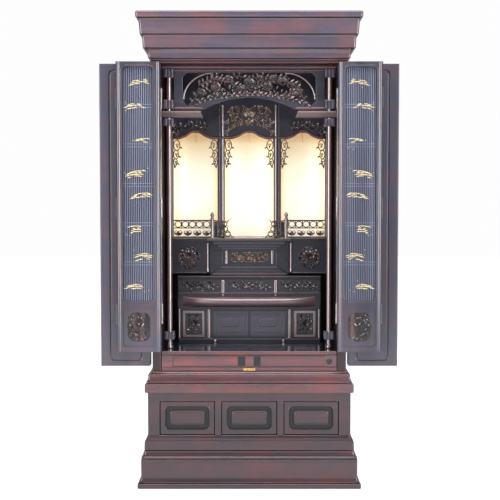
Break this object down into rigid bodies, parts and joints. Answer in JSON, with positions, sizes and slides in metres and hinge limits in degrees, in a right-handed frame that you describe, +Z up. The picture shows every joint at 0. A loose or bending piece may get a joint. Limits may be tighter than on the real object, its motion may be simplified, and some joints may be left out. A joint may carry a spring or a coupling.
{
  "type": "altar cabinet",
  "caption": "Floor-standing household altar cabinet: folding doors with lattice leaves open on a carved shrine of arched niches over a stepped stand, with drawers and a panelled base.",
  "frame": {"origin": "on the floor, under the middle of the plinth's front-to-back and side-to-side reach of the body", "axes": "+X to the cabinet's right as seen from the front, +Y from the front to the back, +Z up"},
  "size_m": [0.9268, 0.539, 1.454],
  "materials": {
    "base_rosewood": "polished red-brown rosewood",
    "body_rosewood": "polished dark rosewood",
    "back_board": "plain dark stained board",
    "door_wood": "polished dark wood with a purple cast",
    "door_lattice": "fine dark slats on gauze",
    "hinge_metal": "pale plated",
    "pull_brass": "satin",
    "carved_wood": "carved and lacquered near-black rosewood",
    "niche_brocade": "cream brocade pasted on board"
  },
  "bodies": {
    "cabinet": {"plinth": "base_rosewood", "lower_moulding": "base_rosewood", "base_case": "base_rosewood", "base_panel_left": "base_rosewood", "base_panel_centre": "base_rosewood", "base_panel_right": "base_rosewood", "base_top_moulding": "base_rosewood", "front_post_left": "body_rosewood", "front_post_right": "body_rosewood", "side_panel_left": "body_rosewood", "side_panel_right": "body_rosewood", "floor_board": "body_rosewood", "ceiling_board": "body_rosewood", "cornice": "body_rosewood", "bow_shelf": "body_rosewood", "base_back": "back_board", "back_panel": "back_board", "outer_door_hinge_left": "hinge_metal", "outer_door_hinge_right": "hinge_metal", "lattice_door_hinge_left": "hinge_metal", "lattice_door_hinge_right": "hinge_metal", "pillar_left": "carved_wood", "pillar_right": "carved_wood", "beam_left": "carved_wood", "beam_right": "carved_wood", "transom_frame": "carved_wood", "transom_carving": "carved_wood", "screen_centre": "carved_wood", "screen_left": "carved_wood", "screen_right": "carved_wood", "altar_table": "carved_wood", "side_stand_left": "carved_wood", "side_stand_right": "carved_wood", "railing_left": "carved_wood", "railing_right": "carved_wood", "step_unit": "carved_wood", "lower_cabinet": "carved_wood", "niche_walls": "niche_brocade"},
    "outer_leaf_left": {"outer_door_hinged_leaf_left": "door_wood", "outer_fold_hinge_left": "hinge_metal"},
    "outer_leaf_right": {"outer_door_hinged_leaf_right": "door_wood", "outer_fold_hinge_right": "hinge_metal"},
    "outer_folding_left": {"outer_door_folding_leaf_left": "door_wood"},
    "outer_folding_right": {"outer_door_folding_leaf_right": "door_wood"},
    "lattice_leaf_left": {"lattice_door_hinged_leaf_left": "door_wood", "hinged_leaf_lattice_left": "door_lattice", "lattice_fold_hinge_left": "hinge_metal"},
    "lattice_leaf_right": {"lattice_door_hinged_leaf_right": "door_wood", "hinged_leaf_lattice_right": "door_lattice", "lattice_fold_hinge_right": "hinge_metal"},
    "lattice_folding_left": {"lattice_door_folding_leaf_left": "door_wood", "folding_leaf_lattice_left": "door_lattice"},
    "lattice_folding_right": {"lattice_door_folding_leaf_right": "door_wood", "folding_leaf_lattice_right": "door_lattice"},
    "wide_drawer": {"wide_drawer": "body_rosewood", "drawer_lock": "hinge_metal"},
    "pull_out_shelf": {"pull_out_shelf": "body_rosewood", "shelf_pull": "pull_brass"},
    "small_drawer_left": {"small_drawer_left": "carved_wood"},
    "small_drawer_right": {"small_drawer_right": "carved_wood"}
  },
  "joints": [
    {"name": "outer_swing_left", "type": "hinge", "parent": "cabinet", "child": "outer_leaf_left", "pos_m": [-0.307, -0.2223, 0.84], "axis": [0, 0, -1], "range_deg": [-180, 0]},
    {"name": "outer_fold_left", "type": "hinge", "parent": "outer_leaf_left", "child": "outer_folding_left", "pos_m": [-0.46065, -0.196, 0.84], "axis": [0, 0, -1], "range_deg": [-180, 0]},
    {"name": "lattice_swing_left", "type": "hinge", "parent": "cabinet", "child": "lattice_leaf_left", "pos_m": [-0.2695, -0.225, 0.86], "axis": [0, 0, -1], "range_deg": [-180, 0]},
    {"name": "lattice_fold_left", "type": "hinge", "parent": "lattice_leaf_left", "child": "lattice_folding_left", "pos_m": [-0.4044, -0.2423, 0.86], "axis": [0, 0, 1], "range_deg": [-180, 0]},
    {"name": "outer_swing_right", "type": "hinge", "parent": "cabinet", "child": "outer_leaf_right", "pos_m": [0.307, -0.2223, 0.84], "axis": [0, 0, 1], "range_deg": [-180, 0]},
    {"name": "outer_fold_right", "type": "hinge", "parent": "outer_leaf_right", "child": "outer_folding_right", "pos_m": [0.46065, -0.196, 0.84], "axis": [0, 0, 1], "range_deg": [-180, 0]},
    {"name": "lattice_swing_right", "type": "hinge", "parent": "cabinet", "child": "lattice_leaf_right", "pos_m": [0.2695, -0.225, 0.86], "axis": [0, 0, 1], "range_deg": [-180, 0]},
    {"name": "lattice_fold_right", "type": "hinge", "parent": "lattice_leaf_right", "child": "lattice_folding_right", "pos_m": [0.4044, -0.2423, 0.86], "axis": [0, 0, -1], "range_deg": [-180, 0]},
    {"name": "wide_drawer_slide", "type": "slide", "parent": "cabinet", "child": "wide_drawer", "axis": [0, -1, 0], "range_m": [0, 0.25]},
    {"name": "shelf_slide", "type": "slide", "parent": "cabinet", "child": "pull_out_shelf", "axis": [0, -1, 0], "range_m": [0, 0.26]},
    {"name": "small_drawer_slide_left", "type": "slide", "parent": "cabinet", "child": "small_drawer_left", "axis": [0, -1, 0], "range_m": [0, 0.1]},
    {"name": "small_drawer_slide_right", "type": "slide", "parent": "cabinet", "child": "small_drawer_right", "axis": [0, -1, 0], "range_m": [0, 0.1]}
  ],
  "couplings": [
    {"joint": "lattice_swing_left", "follows": "outer_swing_left", "ratio": 1},
    {"joint": "lattice_swing_right", "follows": "outer_swing_right", "ratio": 1}
  ]
}
